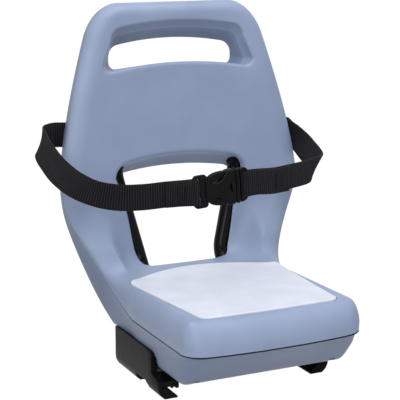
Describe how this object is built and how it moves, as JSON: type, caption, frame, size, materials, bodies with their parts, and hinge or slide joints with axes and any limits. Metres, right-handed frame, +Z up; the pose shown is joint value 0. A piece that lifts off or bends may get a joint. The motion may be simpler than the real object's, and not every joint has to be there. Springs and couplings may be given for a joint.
{
  "type": "child bicycle seat",
  "caption": "Moulded child seat for a bicycle luggage carrier, with a tall back, carrying handle, pale seat pad, lap belt and claws for the carrier rails.",
  "frame": {"origin": "on the carrier's top plane, midway between the left and right claws and midway along their side plates", "axes": "+X across the seat, to the right as seen from in front; +Y from the seat's front edge to its back; +Z up"},
  "size_m": [0.3755, 0.3049, 0.4306],
  "materials": {
    "shell_front_plastic": "fine-grained moulded polypropylene, blue-grey, satin",
    "shell_rear_plastic": "fine-grained moulded polypropylene, the same blue-grey, satin",
    "pad_foam": "pale closed-cell foam with a smooth skin",
    "tube_paint": "glossy black stoved paint on steel tube",
    "strap_steel": "satin black paint on flat steel",
    "claw_plastic": "black glass-filled nylon, satin",
    "jaw_plastic": "black glass-filled nylon, ridged",
    "bolt_steel": "bright zinc on steel",
    "webbing": "ribbed black polyester webbing",
    "buckle_plastic": "black acetal with a fine gloss"
  },
  "bodies": {
    "root": {"front_shell": "shell_front_plastic", "rear_shell": "shell_rear_plastic", "seat_pad": "pad_foam", "frame_tube": "tube_paint", "front_cross_strap": "strap_steel", "rear_cross_strap": "strap_steel", "claw_left": "claw_plastic", "claw_right": "claw_plastic", "jaw_left": "jaw_plastic", "jaw_right": "jaw_plastic", "clamp_bolts": "bolt_steel", "clamp_nuts": "bolt_steel", "tube_bolts": "bolt_steel", "tube_nuts": "bolt_steel", "shell_screws": "bolt_steel", "lap_belt_left": "webbing", "lap_belt_right": "webbing", "belt_keepers": "strap_steel", "keeper_screws": "bolt_steel", "buckle_socket": "buckle_plastic", "buckle_plug": "buckle_plastic"}
  },
  "joints": []
}
